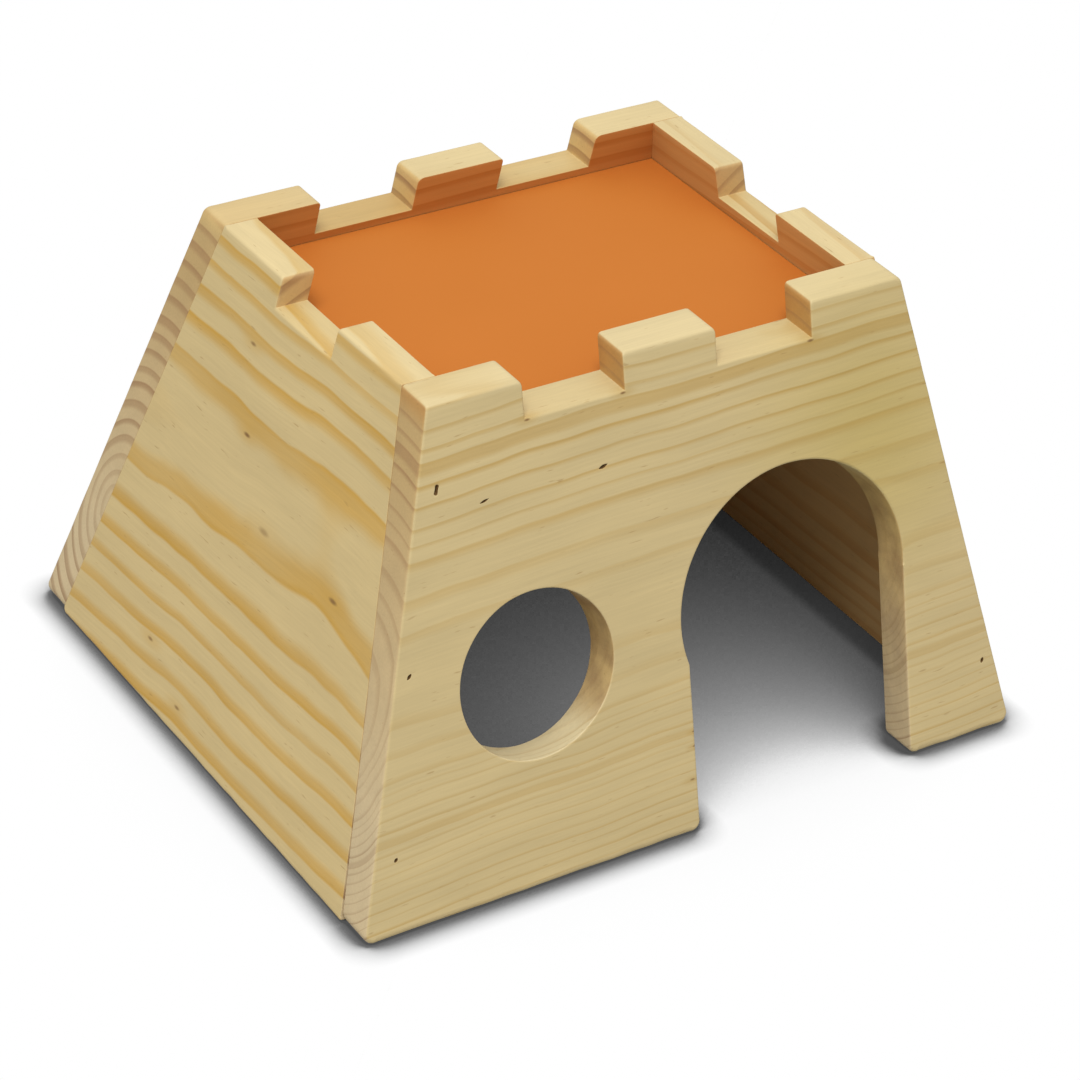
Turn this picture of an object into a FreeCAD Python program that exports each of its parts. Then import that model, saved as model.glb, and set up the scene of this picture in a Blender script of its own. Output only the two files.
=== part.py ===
import FreeCAD, Part

import math
import os

# Wooden hamster house shaped like a small castle keep: four leaning pine boards
# with battlements, a round window, an arched door and a painted roof board let
# in between them, all held with brads.
# X runs along the front, Y from front to back, Z up from the floor.

# Driving dimensions, in millimetres and degrees
house_width = 224.0
house_depth = 194.8
house_height = 143.2
end_wall_lean = 14.3
side_wall_lean = 13.4
end_wall_thick = 12.0
side_wall_thick = 10.0

# Battlements
front_middle_merlon = 30.8
front_middle_merlon_x = -0.9
front_crenel_width = 31.8
front_crenel_depth = 10.4
back_middle_merlon = 29.2
back_middle_merlon_x = 0.3
back_crenel_width = 32.4
back_crenel_depth = 11.6
side_crenel_width = 30.3
left_crenel_y = 0.0
left_crenel_depth = 9.0
right_crenel_y = 0.8
right_crenel_depth = 10.3

# Window and door, drilled square to the leaning front board
window_dia = 49.4
window_x = -50.5
window_up_slope = 63.4
door_arch_dia = 77.4
door_x = 36.0
door_arch_up_slope = 63.7
door_left_jamb_inset = 1.9
door_right_jamb_inset = 0.1

# Roof board, let in below the tops of the merlons
roof_drop = 14.4
roof_thick = 18.0
roof_clearance = 0.2

# Sanded edges
floor_edge_round = 1.8
outer_edge_round = 0.8
hole_edge_round = 0.4
crisp_corner_round = 1.5
worn_corner_round = 2.4

# Brads of flat wire, set with the wide way of the head along the grain
brad_length = 30.0
brad_wire_width = 1.25
brad_wire_thick = 1.05
brad_head_width = 2.0
brad_head_height = 0.6
brad_point_length = 2.4
brad_set_depth = 1.0
brad_clearance = 0.02
brad_up_share = (0.157, 0.504, 0.841)
front_left_brad_inset = (7.0, 4.5, 6.3)
front_right_brad_inset = (4.5, 5.2, 5.2)
back_brad_inset = (5.2, 5.2, 5.2)
roof_front_brad_inset = (11.9, 49.8)
roof_front_brad_drop = 15.3
roof_back_brad_inset = 33.2
roof_back_brad_drop = 9.0
roof_side_brad_inset = 32.8
roof_side_brad_drop = 8.4

# Values that follow from the dimensions above
end_tan = math.tan(math.radians(end_wall_lean))
end_cos = math.cos(math.radians(end_wall_lean))
end_sin = math.sin(math.radians(end_wall_lean))
side_tan = math.tan(math.radians(side_wall_lean))
side_cos = math.cos(math.radians(side_wall_lean))
end_wall_level = end_wall_thick / end_cos
side_wall_level = side_wall_thick / side_cos
slope_length = house_height / end_cos
roof_top_height = house_height - roof_drop
door_left_x = door_x - door_arch_dia / 2 + door_left_jamb_inset
door_right_x = door_x + door_arch_dia / 2 - door_right_jamb_inset
overcut = 5.0
touching = 1e-4


def half_width(height):
    """Half the width over the side walls' outer faces at a height."""
    return house_width / 2 - height * side_tan


def half_depth(height):
    """Half the depth over the end walls' outer faces at a height."""
    return house_depth / 2 - height * end_tan


def arc_corner(before, corner, after, radius):
    """Tangent arc of a radius at a corner between two straight edges."""
    to_before = (before - corner).normalize()
    to_after = (after - corner).normalize()
    half_angle = to_before.getAngle(to_after) / 2
    middle_way = (to_before + to_after).normalize()
    setback = radius / math.tan(half_angle)
    to_middle = radius / math.sin(half_angle) - radius
    start = corner + to_before * setback
    end = corner + to_after * setback
    return Part.Arc(start, corner + middle_way * to_middle, end), start, end


def rounded_outline(corners):
    """Closed wire through (point, radius) corners, arcs where a radius is given."""
    ends = []
    arcs = []
    for index, (point, radius) in enumerate(corners):
        if radius:
            before = corners[index - 1][0]
            after = corners[(index + 1) % len(corners)][0]
            arc, start, end = arc_corner(before, point, after, radius)
            arcs.append(arc.toShape())
            ends.append((start, end))
        else:
            arcs.append(None)
            ends.append((point, point))
    edges = []
    for index, arc in enumerate(arcs):
        if arc:
            edges.append(arc)
        following = (index + 1) % len(arcs)
        edges.append(Part.LineSegment(ends[index][1], ends[following][0]).toShape())
    return Part.Wire(edges)


def battlement_corners(half_foot, half_top, crenels, depth, end_round, left_round, right_round):
    """Corners (across, up, radius) of a tapering board with crenels in its top edge."""
    corners = [(-half_foot, 0.0, 0.0), (half_foot, 0.0, 0.0), (half_top, house_height, end_round)]
    for left, right in reversed(crenels):
        corners.append((right, house_height, left_round))
        corners.append((right, house_height - depth, 0.0))
        corners.append((left, house_height - depth, 0.0))
        corners.append((left, house_height, right_round))
    corners.append((-half_top, house_height, end_round))
    return corners


def end_wall_blank(crenels, depth, right_round):
    """End wall as it stands at the front: a tapering outline cut level through a slab that leans back."""
    outline = battlement_corners(
        half_width(0), half_width(house_height), crenels, depth,
        crisp_corner_round, crisp_corner_round, right_round)
    start = -house_depth / 2 - overcut
    wire = rounded_outline([(FreeCAD.Vector(x, start, z), r) for x, z, r in outline])
    reach = house_depth / 2 + 2 * overcut
    block = Part.Face(wire).extrude(FreeCAD.Vector(0, reach, 0))
    corners = []
    for height in (-overcut, house_height + overcut):
        corners.append(FreeCAD.Vector(-house_width, -half_depth(height), height))
    for height in (house_height + overcut, -overcut):
        corners.append(FreeCAD.Vector(-house_width, end_wall_level - half_depth(height), height))
    section = Part.Face(Part.makePolygon(corners + corners[:1]))
    return block.common(section.extrude(FreeCAD.Vector(2 * house_width, 0, 0)))


def side_wall_blank(crenels, depth):
    """Side wall as it stands on the left, cut to fit between the end walls' inner faces."""
    outline = battlement_corners(
        half_depth(0) - end_wall_level, half_depth(house_height) - end_wall_level, crenels, depth,
        0.0, crisp_corner_round, crisp_corner_round)
    start = -house_width / 2 - overcut
    wire = rounded_outline([(FreeCAD.Vector(start, y, z), r) for y, z, r in outline])
    reach = house_width / 2 + 2 * overcut
    block = Part.Face(wire).extrude(FreeCAD.Vector(reach, 0, 0))
    corners = []
    for height in (-overcut, house_height + overcut):
        corners.append(FreeCAD.Vector(-half_width(height), -house_depth, height))
    for height in (house_height + overcut, -overcut):
        corners.append(FreeCAD.Vector(side_wall_level - half_width(height), -house_depth, height))
    section = Part.Face(Part.makePolygon(corners + corners[:1]))
    return block.common(section.extrude(FreeCAD.Vector(0, 2 * house_depth, 0)))


def turned_round(board):
    """The board carried to the opposite side of the house by half a turn about the upright axis."""
    return board.rotated(FreeCAD.Vector(0, 0, 0), FreeCAD.Vector(0, 0, 1), 180)


def front_slope_point(x, up_slope, depth_in=0.0):
    """Point on the front board, measured up its outer face and square into the wood."""
    y = -house_depth / 2 + up_slope * end_sin + depth_in * end_cos
    z = up_slope * end_cos - depth_in * end_sin
    return FreeCAD.Vector(x, y, z)


def round_cutter(x, up_slope, diameter):
    """Drill square to the front board's face."""
    start = front_slope_point(x, up_slope, -overcut)
    inwards = front_slope_point(x, up_slope, 1.0) - front_slope_point(x, up_slope)
    return Part.makeCylinder(diameter / 2, end_wall_thick + 2 * overcut, start, inwards)


def doorway_cutter():
    """Round arch with two straight jambs sawn up to it from the floor."""
    below = -2 * overcut
    corners = []
    for x, up_slope in ((door_left_x, below), (door_right_x, below),
                        (door_right_x, door_arch_up_slope), (door_left_x, door_arch_up_slope)):
        corners.append(front_slope_point(x, up_slope, -overcut))
    inwards = front_slope_point(0, 0, end_wall_thick + overcut) - front_slope_point(0, 0, -overcut)
    jambs = Part.Face(Part.makePolygon(corners + corners[:1])).extrude(inwards)
    return round_cutter(door_x, door_arch_up_slope, door_arch_dia).fuse(jambs)


def edge_points(edge):
    """Both ends and the middle of an edge."""
    low, high = edge.ParameterRange
    return [edge.valueAt(low), edge.valueAt((low + high) / 2), edge.valueAt(high)]


def off_front_face(point):
    """Level distance of a point from the front board's outer face."""
    return abs(point.y + half_depth(point.z))


def off_left_face(point):
    """Level distance of a point from the left board's outer face."""
    return abs(point.x + half_width(point.z))


def off_corner_joint(point):
    """Level distance of a point from the nearer end wall's inner face, which a side wall butts."""
    return abs(abs(point.y) - half_depth(point.z) + end_wall_level)


def lies_on(edge, distance):
    return all(distance(point) < touching for point in edge_points(edge))


def soften(board, off_outer_face):
    """Round the floor edge, then every other edge of the outer face that isn't in a corner joint."""
    def shows(edge):
        return lies_on(edge, off_outer_face) and not lies_on(edge, off_corner_joint)

    def at_floor(edge):
        return all(abs(point.z) < touching for point in edge_points(edge))

    board = board.makeFillet(floor_edge_round, [e for e in board.Edges if shows(e) and at_floor(e)])
    return board.makeFillet(outer_edge_round, [e for e in board.Edges if shows(e)])


def soften_window(board):
    """Take the sharpness off the window's rim."""
    middle = front_slope_point(window_x, window_up_slope)

    def off_rim(point):
        return abs(point.distanceToPoint(middle) - window_dia / 2)

    return board.makeFillet(hole_edge_round, [e for e in board.Edges if lies_on(e, off_rim)])


def crenels_beside(centre, merlon, width):
    """The two gaps on either side of a middle merlon, left one first."""
    left_edge = centre - merlon / 2
    right_edge = centre + merlon / 2
    return [(left_edge - width, left_edge), (right_edge, right_edge + width)]


def build_front_wall():
    crenels = crenels_beside(front_middle_merlon_x, front_middle_merlon, front_crenel_width)
    board = end_wall_blank(crenels, front_crenel_depth, worn_corner_round).cut(doorway_cutter())
    board = soften(board, off_front_face)
    return soften_window(board.cut(round_cutter(window_x, window_up_slope, window_dia)))


def build_back_wall():
    crenels = crenels_beside(-back_middle_merlon_x, back_middle_merlon, back_crenel_width)
    board = end_wall_blank(crenels, back_crenel_depth, crisp_corner_round)
    return turned_round(soften(board, off_front_face))


def build_side_wall(crenel_y, crenel_depth):
    """Side wall as it stands on the left."""
    crenel = (crenel_y - side_crenel_width / 2, crenel_y + side_crenel_width / 2)
    return soften(side_wall_blank([crenel], crenel_depth), off_left_face)


def build_roof_board():
    """Board bevelled on all four edges to bear on the leaning walls."""
    levels = []
    for height in (roof_top_height - roof_thick, roof_top_height):
        across = half_width(height) - side_wall_level - roof_clearance
        along = half_depth(height) - end_wall_level - roof_clearance
        corners = []
        for x, y in ((-across, -along), (across, -along), (across, along), (-across, along)):
            corners.append(FreeCAD.Vector(x, y, height))
        levels.append(Part.makePolygon(corners + corners[:1]))
    return Part.makeLoft(levels, True, True)


def brad_blank(start, direction, clear, head_top):
    """T-shaped brad with a chisel point, sheared from flat wire: depths run from zero at the surface."""
    shank = brad_wire_width / 2 + clear
    head = brad_head_width / 2 + clear
    thick = brad_wire_thick + 2 * clear
    head_under = brad_set_depth + brad_head_height
    point_start = brad_set_depth + brad_length - brad_point_length
    tip = brad_set_depth + brad_length + clear
    half_section = [(head, head_top), (head, head_under), (shank, head_under), (shank, point_start)]
    section = half_section + [(0, tip)] + [(-across, depth) for across, depth in reversed(half_section)]
    points = [FreeCAD.Vector(across, -thick / 2, depth) for across, depth in section]
    blank = Part.Face(Part.makePolygon(points + points[:1])).extrude(FreeCAD.Vector(0, thick, 0))
    level = direction.cross(FreeCAD.Vector(0, 0, 1))
    turn = FreeCAD.Rotation(level, FreeCAD.Vector(0, 0, 0), direction, "ZXY")
    blank.Placement = FreeCAD.Placement(start, turn)
    return blank


def brad_at(start, direction):
    return brad_blank(start, direction, 0.0, brad_set_depth)


def brad_hole_at(start, direction):
    """The tight hole of a brad, with the slot that its head left on the way in."""
    return brad_blank(start, direction, brad_clearance, -overcut)


def corner_brads(end, side, insets):
    """Places of the brads driven square through an end wall into a side wall's end grain."""
    places = []
    for share, inset in zip(brad_up_share, insets):
        start = front_slope_point(0, share * slope_length)
        inwards = front_slope_point(0, share * slope_length, 1.0) - start
        start.x = side * (half_width(start.z) - inset)
        start.y = -end * start.y
        inwards.y = -end * inwards.y
        places.append((start, inwards))
    return places


def roof_end_brads(end, drop, sides, insets):
    """Places of the level brads through an end wall into the roof board, measured from a side wall."""
    height = roof_top_height - drop
    inside = half_width(height) - side_wall_level
    places = []
    for side, inset in zip(sides, insets):
        start = FreeCAD.Vector(side * (inside - inset), end * half_depth(height), height)
        places.append((start, FreeCAD.Vector(0, -end, 0)))
    return places


def roof_side_brads(side):
    """Places of the level brads through a side wall into the roof board, one near each end wall."""
    height = roof_top_height - roof_side_brad_drop
    inside = half_depth(height) - end_wall_level
    places = []
    for end in (-1, 1):
        start = FreeCAD.Vector(side * half_width(height), end * (inside - roof_side_brad_inset), height)
        places.append((start, FreeCAD.Vector(-side, 0, 0)))
    return places


def drilled(board, places):
    """Board with the tight holes that the brads make in it."""
    for start, direction in places:
        board = board.cut(brad_hole_at(start, direction))
    return board


front_left = corner_brads(-1, -1, front_left_brad_inset)
front_right = corner_brads(-1, 1, front_right_brad_inset)
back_left = corner_brads(1, -1, back_brad_inset)
back_right = corner_brads(1, 1, back_brad_inset)
roof_front = roof_end_brads(-1, roof_front_brad_drop, (-1, -1), roof_front_brad_inset)
roof_back = roof_end_brads(1, roof_back_brad_drop, (-1, 1), (roof_back_brad_inset, roof_back_brad_inset))
roof_left = roof_side_brads(-1)
roof_right = roof_side_brads(1)

nodes = {
    "front_wall": drilled(build_front_wall(), front_left + front_right + roof_front),
    "back_wall": drilled(build_back_wall(), back_left + back_right + roof_back),
    "left_wall": drilled(build_side_wall(left_crenel_y, left_crenel_depth),
                         front_left + back_left + roof_left),
    "right_wall": drilled(turned_round(build_side_wall(-right_crenel_y, right_crenel_depth)),
                          front_right + back_right + roof_right),
    "roof_board": drilled(build_roof_board(), roof_front + roof_back + roof_left + roof_right),
}
brad_groups = {
    "front_left_brads": front_left,
    "front_right_brads": front_right,
    "back_left_brads": back_left,
    "back_right_brads": back_right,
    "roof_front_brads": roof_front,
    "roof_back_brads": roof_back,
    "roof_left_brads": roof_left,
    "roof_right_brads": roof_right,
}
for name, places in brad_groups.items():
    nodes[name] = Part.makeCompound([brad_at(start, direction) for start, direction in places])

os.makedirs("parts", exist_ok=True)
for name, shape in nodes.items():
    shape.exportStep("parts/" + name + ".step")
    print(name, "solids", len(shape.Solids), "valid", shape.isValid(), "volume", round(shape.Volume, 1))
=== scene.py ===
import math

import bpy
import numpy as np
from mathutils import Matrix, Vector
from mathutils.geometry import delaunay_2d_cdt


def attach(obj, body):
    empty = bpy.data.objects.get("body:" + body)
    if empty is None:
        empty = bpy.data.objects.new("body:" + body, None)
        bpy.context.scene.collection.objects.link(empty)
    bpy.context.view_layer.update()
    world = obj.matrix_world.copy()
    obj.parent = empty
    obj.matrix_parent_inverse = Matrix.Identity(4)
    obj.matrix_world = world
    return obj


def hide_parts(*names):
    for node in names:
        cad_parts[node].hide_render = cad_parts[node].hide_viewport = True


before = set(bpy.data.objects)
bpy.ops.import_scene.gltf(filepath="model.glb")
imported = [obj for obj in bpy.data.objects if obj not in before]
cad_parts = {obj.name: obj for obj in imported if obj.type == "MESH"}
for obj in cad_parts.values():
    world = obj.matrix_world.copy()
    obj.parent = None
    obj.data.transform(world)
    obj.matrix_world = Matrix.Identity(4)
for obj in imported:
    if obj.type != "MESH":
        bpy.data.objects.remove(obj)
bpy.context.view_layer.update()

# Front wall
# A 12 mm board of bare sanded pine that leans back. The window and the arch of the door were drilled
# square to its face, and the battlements were sawn level before its outer edges were sanded round.
house_width = 224.0
house_depth = 194.8
house_height = 143.2
end_wall_lean = math.radians(14.3)
side_wall_lean = math.radians(13.4)
end_wall_thick = 12.0
slope_height = house_height / math.cos(end_wall_lean)
front_merlon_left, front_merlon_right = -16.3, 14.5
front_crenel_width = 31.8
front_crenel_depth = 10.4
front_crenel_floor = (house_height - front_crenel_depth) / math.cos(end_wall_lean)
window_x, window_up, window_radius = -50.5, 63.4, 24.7
arch_x, arch_up, arch_radius = 36.0, 63.7, 38.7
jamb_left, jamb_right = -0.8, 74.6
point_spacing = 1.0
inner_edge_share = 0.4
head_reach = 1.3
pit_depth = 1.25


def board_frame(outwards, lean, foot):
    """Axes of a leaning board: along it to the right as seen from outside, through its thickness to the
    inside, and up its outer face, with the middle of that face's foot. The three are at right angles."""
    outwards = np.array(outwards, float)
    upright = np.array((0.0, 0.0, 1.0))
    through = -outwards * math.cos(lean) - upright * math.sin(lean)
    up = -outwards * math.sin(lean) + upright * math.cos(lean)
    return {"along": np.cross(through, up), "through": through, "up": up, "foot": outwards * foot,
            "tan": math.tan(lean)}


def rounded_path(corners, spacing):
    """Closed path through (across, up, corner radius, edge round) corners, taken anticlockwise. Each corner
    is the circle arc that touches both of its sides, and a straight run is divided evenly. The edge round
    belongs to the run after its corner, blends into the next one along the arc, and is kept below the radius
    of a nearby outward corner. Points that nearly coincide are dropped. Returns the points, the unit normals
    into the wood and the edge rounds."""
    corners = np.asarray(corners, float)
    point, radius, edge = corners[:, :2], corners[:, 2], corners[:, 3]
    ahead = np.roll(point, -1, 0) - point
    ahead /= np.linalg.norm(ahead, axis=1)[:, None]
    arriving = np.roll(ahead, 1, 0)
    turn = np.arctan2(arriving[:, 0] * ahead[:, 1] - arriving[:, 1] * ahead[:, 0], (arriving * ahead).sum(1))
    setback = (radius * np.tan(np.abs(turn) / 2))[:, None]
    room = np.where(turn > 0, radius - 0.3, 99.0)
    points, normals, edges = [], [], []
    for i in range(len(corners)):
        share = np.linspace(0, 1, 5 + int(abs(turn[i]) * radius[i] / spacing))
        angle = turn[i] * share
        left = np.stack([-arriving[i, 1] * np.cos(angle) - arriving[i, 0] * np.sin(angle),
                         arriving[i, 0] * np.cos(angle) - arriving[i, 1] * np.sin(angle)], 1)
        side = np.sign(turn[i])
        centre = point[i] - arriving[i] * setback[i] + side * radius[i] * left[0]
        arc = centre - side * radius[i] * left
        points.append(arc)
        normals.append(left)
        edges.append(np.minimum(edge[i - 1] + (edge[i] - edge[i - 1]) * share, room[i]))
        following = (i + 1) % len(corners)
        end = point[following] - ahead[i] * setback[following]
        length = np.linalg.norm(end - arc[-1])
        pieces = max(2, int(length / spacing))
        share = np.arange(1, pieces)[:, None] / pieces
        points.append(arc[-1] + (end - arc[-1]) * share)
        normals.append(np.repeat(left[-1:], pieces - 1, 0))
        share = share[:, 0]
        edges.append(np.minimum(edge[i], np.minimum(room[i] + share * length,
                                                    room[following] + (1 - share) * length)))
    points, normals, edges = np.concatenate(points), np.concatenate(normals), np.concatenate(edges)
    apart = np.linalg.norm(np.roll(points, -1, 0) - points, axis=1) > 0.02
    return points[apart], normals[apart], edges[apart]


def slow_noise(count, knots, seed):
    """Closed run of values between 0 and 1: random heights at evenly spaced knots, joined by cosines."""
    heights = np.random.default_rng(seed).random(knots)
    place = np.arange(count) * knots / count
    low = place.astype(int)
    blend = 0.5 - 0.5 * np.cos(np.pi * (place - low))
    return heights[low % knots] * (1 - blend) + heights[(low + 1) % knots] * blend


def sanded_unevenly(edge, knots, seed):
    """Edge rounds times a slow noise between 0.82 and 1, as hand sanding leaves them."""
    return edge * (0.82 + 0.18 * slow_noise(len(edge), knots, seed))


def board_points(board, across, up, depth):
    """World point in metres: foot + across * along + up * up the face + depth * through, in millimetres."""
    place = board["foot"] + across[..., None] * board["along"] + up[..., None] * board["up"]
    return (place + depth[..., None] * board["through"]) * 0.001


def rim_surface(board, path, normal, edge, inner_edge, thick, level):
    """Sawn edge of a board: a profile carried along the outline. The profile starts on the outer face,
    turns a quarter circle of the outer edge round, crosses the thickness and turns another quarter circle
    onto the inner face. level shears it so that a level cut stays level: up = up + level * depth * tan."""
    flat = 0.25
    angle = np.linspace(0, np.pi / 2, 5)[:, None]
    zero = np.zeros_like(edge)
    inset = np.concatenate([[edge + flat], edge * (1 - np.sin(angle)), [zero, zero],
                            (inner_edge * (1 - np.sin(angle)))[::-1], [inner_edge + flat]])
    depth = np.concatenate([[zero], edge * (1 - np.cos(angle)), [zero + thick / 3, zero + thick * 2 / 3],
                            (thick - inner_edge * (1 - np.cos(angle)))[::-1], [zero + thick]])
    across = path[:, 0] + normal[:, 0] * inset
    up = path[:, 1] + normal[:, 1] * inset + level * depth * board["tan"]
    return board_points(board, across, up, depth)


def pit_surface(board, across, up, length, width, depth, turned, waist=1.0):
    """Torn pit over a sunk brad. Its rim is (length * cos, width * sin * (1 - waist * cos^2)): a spindle, or
    two lobes where waist is negative. It is drawn in to a third of its size as it goes down, and a flat ring
    round it keeps the board's face true."""
    angle = np.linspace(0, 2 * np.pi, 20, endpoint=False)
    size = np.array([1.4, 1.0, 0.9, 0.72, 0.5, 0.3])[:, None]
    down = np.array([0.0, 0.0, 0.12, 0.45, 0.85, 1.0])[:, None] * depth
    x = length * np.cos(angle) * size
    y = width * np.sin(angle) * (1 - waist * np.cos(angle) ** 2) * size
    x, y = x * math.cos(turned) - y * math.sin(turned), x * math.sin(turned) + y * math.cos(turned)
    return board_points(board, across + x, up + y, np.broadcast_to(down, x.shape))


def brad_heads(node, board, reach):
    """Centres (across, up) of the brad heads of a CAD node: its points less than reach millimetres below the
    board's outer face, split wherever they lie more than 5 mm apart."""
    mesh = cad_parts[node].data
    place = np.empty(3 * len(mesh.vertices))
    mesh.vertices.foreach_get("co", place)
    place = place.reshape(-1, 3) * 1000 - board["foot"]
    place = place[np.abs(place @ board["through"]) < reach]
    seen = np.stack([place @ board["along"], place @ board["up"]], 1)
    seen = seen[np.lexsort((seen[:, 1], np.round(seen[:, 0] / 5)))]
    breaks = np.nonzero(np.linalg.norm(np.diff(seen, axis=0), axis=1) > 5)[0] + 1
    return [group.mean(0) for group in np.split(seen, breaks)]


def fill(loops):
    """Delaunay triangles between closed loops of plane points, anticlockwise, as indices into the joined
    loops. A triangle is kept when a ray from its middle crosses the loops an odd number of times."""
    flat = np.concatenate(loops)
    start = np.cumsum([0] + [len(loop) for loop in loops])
    ahead = np.concatenate([s + np.roll(np.arange(len(loop)), -1) for s, loop in zip(start, loops)])
    edges = [(int(i), int(j)) for i, j in enumerate(ahead)]
    made = delaunay_2d_cdt([Vector(point) for point in flat], edges, [], 0, 1e-6)
    source = np.array([inputs[0] for inputs in made[3]])
    triangles = source[np.array(made[2])]
    middle = flat[triangles].mean(1)
    a, b = flat, flat[ahead]
    passes = (a[:, 1] > middle[:, 1:]) != (b[:, 1] > middle[:, 1:])
    rise = b[:, 1] - a[:, 1]
    meets = a[:, 0] + (b[:, 0] - a[:, 0]) * (middle[:, 1:] - a[:, 1]) / np.where(rise == 0, 1, rise)
    return triangles[(passes & (middle[:, :1] < meets)).sum(1) % 2 == 1]


def closed_mesh(name, board, rims, pits):
    """Board from its rim surfaces and pits: the rims' first rows and the pits' first rows bound the outer
    face, the rims' last rows the inner face, and both are filled with triangles. Only the first rim runs
    round the outside of the wood, so it winds the other way. The pits take the second material inside
    their rings."""
    points, faces, outer, inner, in_pit = [], [], [], [], []
    start = 0
    for number, grid in enumerate(rims + pits):
        rows, count = grid.shape[:2]
        index = start + np.arange(rows * count).reshape(rows, count)
        beside = np.roll(index, -1, 1)
        quads = np.stack([index[:-1], beside[:-1], beside[1:], index[1:]], 2).reshape(-1, 4)
        faces += (quads[:, ::-1] if number == 0 else quads).tolist()
        points.append(grid.reshape(-1, 3))
        outer.append(index[0])
        if number < len(rims):
            in_pit += [0] * len(quads)
            inner.append(index[-1])
        else:
            in_pit += [0] * count + [1] * (len(quads) - count + 1)
            faces.append(index[-1].tolist())
        start += rows * count
    points = np.concatenate(points)
    plane = points * 1000 - board["foot"]
    plane = np.stack([plane @ board["along"], plane @ board["up"]], 1)
    for loops, winding in ((outer, 1), (inner, -1)):
        triangles = fill([plane[loop] for loop in loops])
        faces += np.concatenate(loops)[triangles][:, ::winding].tolist()
    mesh = bpy.data.meshes.new(name)
    mesh.from_pydata(points.tolist(), [], faces)
    mesh.polygons.foreach_set("material_index", in_pit + [0] * (len(faces) - len(in_pit)))
    mesh.shade_smooth()
    piece = bpy.data.objects.new(name, mesh)
    bpy.context.scene.collection.objects.link(piece)
    return piece


def linear(code):
    """sRGB hex colour as the linear RGBA that the shaders take."""
    parts = [int(code[i:i + 2], 16) / 255 for i in (1, 3, 5)]
    return tuple(c / 12.92 if c <= 0.04045 else ((c + 0.055) / 1.055) ** 2.4 for c in parts) + (1.0,)


def put(material, kind, inputs=None, **options):
    """Adds one node, sets its options, and gives each listed input a value or a link."""
    made = material.node_tree.nodes.new(kind)
    for option, value in options.items():
        setattr(made, option, value)
    for socket, value in (inputs or {}).items():
        if isinstance(value, bpy.types.NodeSocket):
            material.node_tree.links.new(value, made.inputs[socket])
        else:
            made.inputs[socket].default_value = value
    return made


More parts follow.
